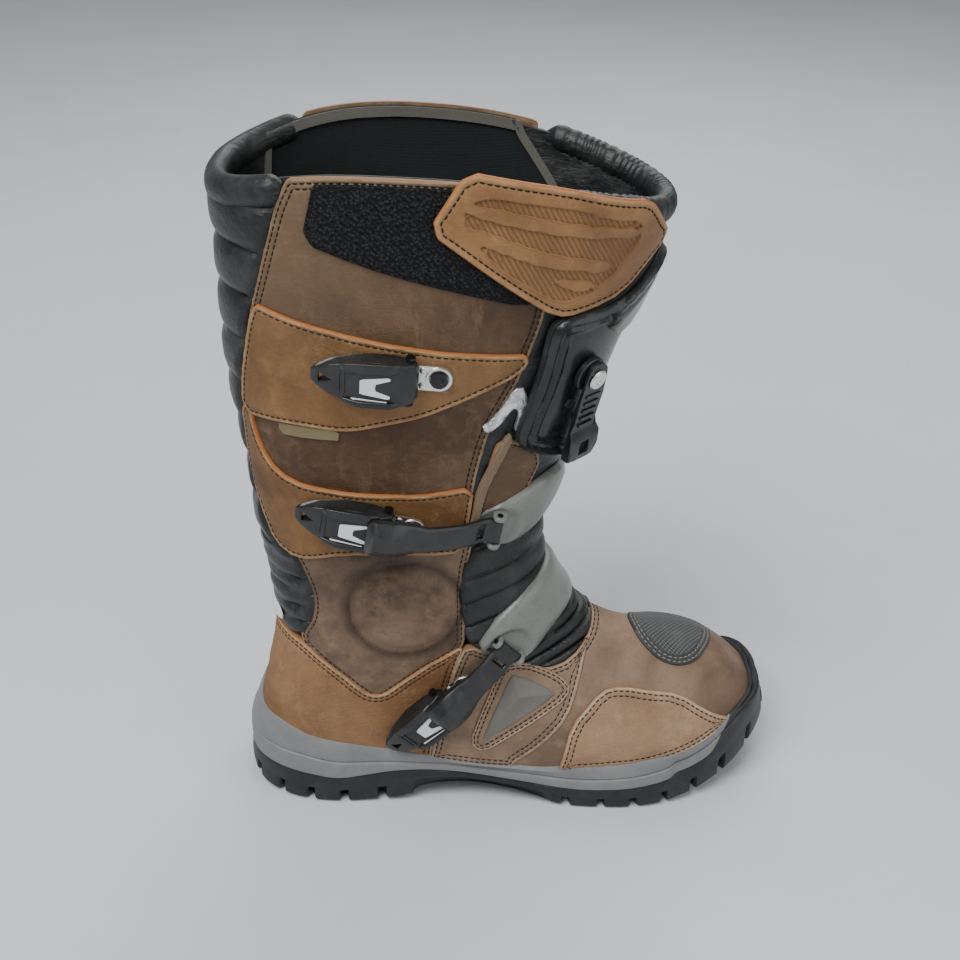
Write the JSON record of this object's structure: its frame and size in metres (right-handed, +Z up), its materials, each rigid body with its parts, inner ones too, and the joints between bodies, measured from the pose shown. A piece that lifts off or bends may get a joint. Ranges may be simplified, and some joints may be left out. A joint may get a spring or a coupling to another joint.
{
  "type": "motorcycle riding boot",
  "caption": "Tall adventure riding boot for the right foot, with a lugged sole, toggle buckles, straps, a shin plate and a closing flap.",
  "frame": {"origin": "on the ground under the centre of the heel, on the tread's flat contact face", "axes": "+X towards the toe, +Y towards the wearer's left (the inner side of this right boot), +Z up"},
  "size_m": [0.3157, 0.14, 0.392],
  "materials": {
    "leather_dark": "oiled, worn",
    "leather_tan": "suede with oiled face",
    "flap_tan": "embossed",
    "leather_black": "soft grained",
    "toe_rubber": "textured",
    "lining": "brushed mesh",
    "loop": "loop pile",
    "board": "pressed fibre",
    "stiffener": "moulded",
    "grey_plastic": "satin",
    "black_plastic": "satin",
    "shin_soft": "soft",
    "steel": "plated",
    "screw_black": "black",
    "badge": "pale, plain",
    "midsole_grey": "moulded, matt",
    "outsole_black": "moulded, matt",
    "reflective": "woven, pale"
  },
  "bodies": {
    "boot": {"achilles_flex": "leather_black", "ankle_guard_inner": "stiffener", "ankle_guard_outer": "stiffener", "ankle_patch": "leather_dark", "band_lower": "leather_tan", "band_upper": "leather_tan", "buckle_screws": "screw_black", "calf_pad": "leather_black", "flap_root": "flap_tan", "footbed": "lining", "forefoot_cover_inner": "leather_tan", "forefoot_cover_outer": "leather_tan", "front_collar": "leather_black", "heat_guard": "leather_tan", "heel_counter": "stiffener", "heel_cover": "leather_tan", "heel_patch": "reflective", "insole_board": "board", "instep_base_plate": "steel", "instep_bracket": "grey_plastic", "instep_flex": "leather_black", "lever_pins": "steel", "lining": "lining", "loop_patch": "loop", "mid_base_plate": "steel", "mid_bracket": "grey_plastic", "midsole": "midsole_grey", "outsole": "outsole_black", "quarter_inner": "leather_dark", "quarter_outer": "leather_dark", "shaft_inner": "leather_dark", "shaft_outer": "leather_dark", "shank": "steel", "shin_pad": "shin_soft", "shin_plate": "black_plastic", "side_label": "reflective", "strap_pins": "steel", "toe_cap": "stiffener", "toe_pad": "toe_rubber", "tongue": "leather_black", "tongue_strip": "leather_dark", "top_binding": "leather_black", "triangle_guard": "grey_plastic", "upper_base_plate": "steel", "upper_strap_mount": "black_plastic", "upper_strap_post": "steel", "vamp": "leather_dark"},
    "upper_lever": {"upper_lever": "black_plastic", "upper_badge": "badge"},
    "mid_lever": {"mid_lever": "black_plastic", "mid_badge": "badge"},
    "instep_lever": {"instep_lever": "black_plastic", "instep_badge": "badge"},
    "mid_strap": {"mid_strap": "black_plastic"},
    "instep_strap": {"instep_strap": "black_plastic"},
    "upper_strap": {"upper_strap": "black_plastic"},
    "flap": {"flap": "flap_tan"}
  },
  "joints": [
    {"name": "upper_lever_hinge", "type": "hinge", "parent": "boot", "child": "upper_lever", "pos_m": [0.0594, -0.06596, 0.29058], "axis": [0.0746, -0.0732, 0.9945], "range_deg": [0, 110]},
    {"name": "mid_lever_hinge", "type": "hinge", "parent": "boot", "child": "mid_lever", "pos_m": [0.04515, -0.05911, 0.20268], "axis": [0.1815, -0.0797, 0.9802], "range_deg": [0, 110]},
    {"name": "instep_lever_hinge", "type": "hinge", "parent": "boot", "child": "instep_lever", "pos_m": [0.07656, -0.04822, 0.076], "axis": [-0.6837, -0.0691, 0.7265], "range_deg": [0, 110]},
    {"name": "mid_strap_hinge", "type": "hinge", "parent": "boot", "child": "mid_strap", "pos_m": [0.103, -0.04841, 0.19284], "axis": [0.1815, -0.0797, 0.9802], "range_deg": [0, 80]},
    {"name": "instep_strap_hinge", "type": "hinge", "parent": "boot", "child": "instep_strap", "pos_m": [0.1114, -0.04394, 0.10919], "axis": [-0.6837, -0.0691, 0.7265], "range_deg": [0, 80]},
    {"name": "upper_strap_swivel", "type": "hinge", "parent": "boot", "child": "upper_strap", "pos_m": [0.14771, -0.03969, 0.28105], "axis": [-0.6285, 0.7416, 0.2345], "range_deg": [-15, 90]},
    {"name": "flap_hinge", "type": "hinge", "parent": "boot", "child": "flap", "pos_m": [0.13796, -0.0532, 0.31902], "axis": [0.3741, -0.0066, 0.9273], "range_deg": [0, 100]}
  ],
  "couplings": [
    {"joint": "mid_strap_hinge", "follows": "mid_lever_hinge", "ratio": 0.7},
    {"joint": "instep_strap_hinge", "follows": "instep_lever_hinge", "ratio": 0.7}
  ]
}
